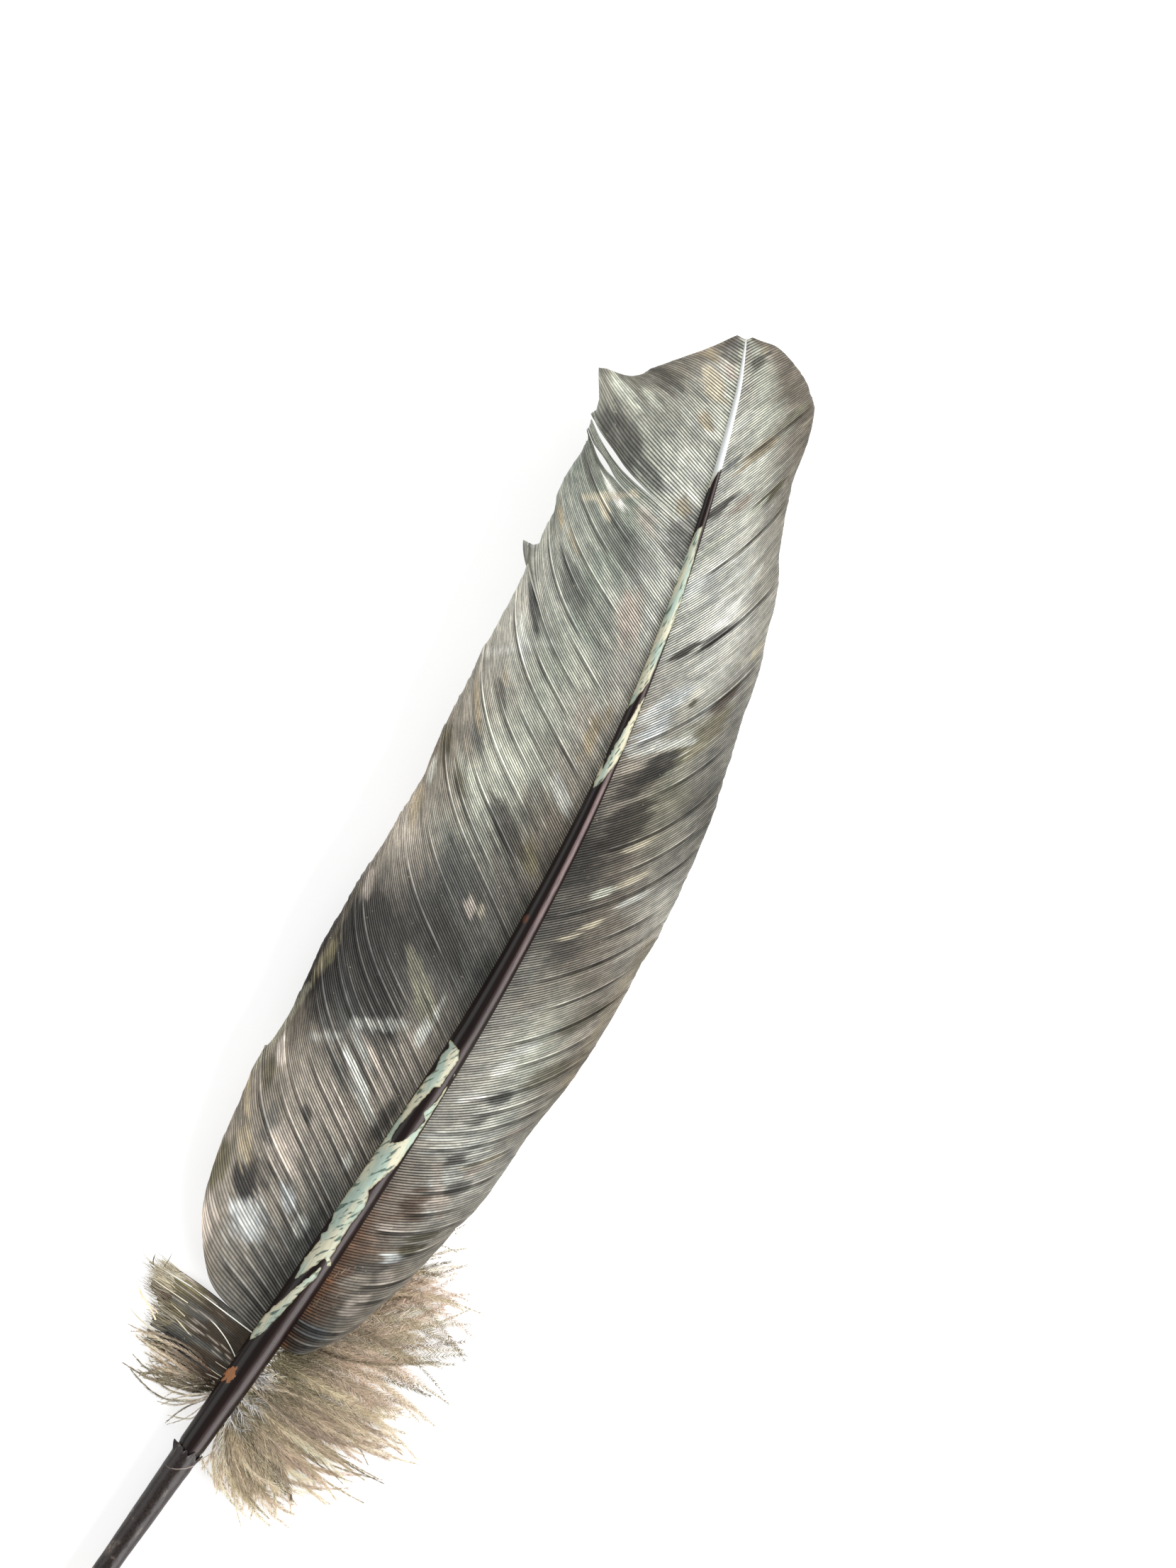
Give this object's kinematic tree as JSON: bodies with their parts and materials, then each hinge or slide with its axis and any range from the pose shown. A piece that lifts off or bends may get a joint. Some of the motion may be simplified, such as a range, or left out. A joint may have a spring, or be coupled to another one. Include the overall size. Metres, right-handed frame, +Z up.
{
  "type": "quill pen",
  "caption": "Quill pen: a long wing feather with ragged vanes and a downy foot, its quill set in a tapered barrel with a small steel nib that slides from a ferrule.",
  "frame": {"origin": "the table under the middle of the pen's bounding box", "axes": "the pen lies flat with the shaft's proud side up: +X along the barrel from the nib to the feather's tip, +Y to the left of that, +Z up from the table"},
  "size_m": [0.2976, 0.087, 0.0114],
  "materials": {
    "lacquered_quill": "dark brown lacquer, flaked to pale horn",
    "pith": "dry foam-like pith",
    "barrel_lacquer": "dark brown lacquer, scuffed",
    "hide_glue": "amber glue",
    "ferrule_steel": "satin",
    "spring_brass": "satin",
    "nib_steel": "blued grey",
    "vane": "ribbed grey and olive barbs",
    "down": "soft grey and tan down"
  },
  "bodies": {
    "pen": {"quill_shaft": "lacquered_quill", "shaft_pith": "pith", "pulp_caps": "pith", "barrel": "barrel_lacquer", "barrel_glue": "hide_glue", "ferrule": "ferrule_steel", "nib_clamp": "spring_brass", "left_lock_1": "vane", "left_lock_2": "vane", "left_lock_3": "vane", "left_lock_4": "vane", "left_lock_5": "vane", "left_lock_6": "vane", "left_lock_7": "vane", "left_lock_8": "vane", "right_lock_1": "vane", "right_lock_2": "vane", "right_lock_3": "vane", "right_lock_4": "vane", "right_lock_5": "vane", "right_lock_6": "vane", "right_lock_7": "vane", "left_tuft_web": "down", "left_tuft_down": "down", "right_down_rear": "down", "right_down_middle": "down", "right_down_front": "down"},
    "nib": {"nib": "nib_steel"}
  },
  "joints": [
    {"name": "nib_slide", "type": "slide", "parent": "pen", "child": "nib", "axis": [-1, 0, 0], "range_m": [0, 0.008]}
  ]
}
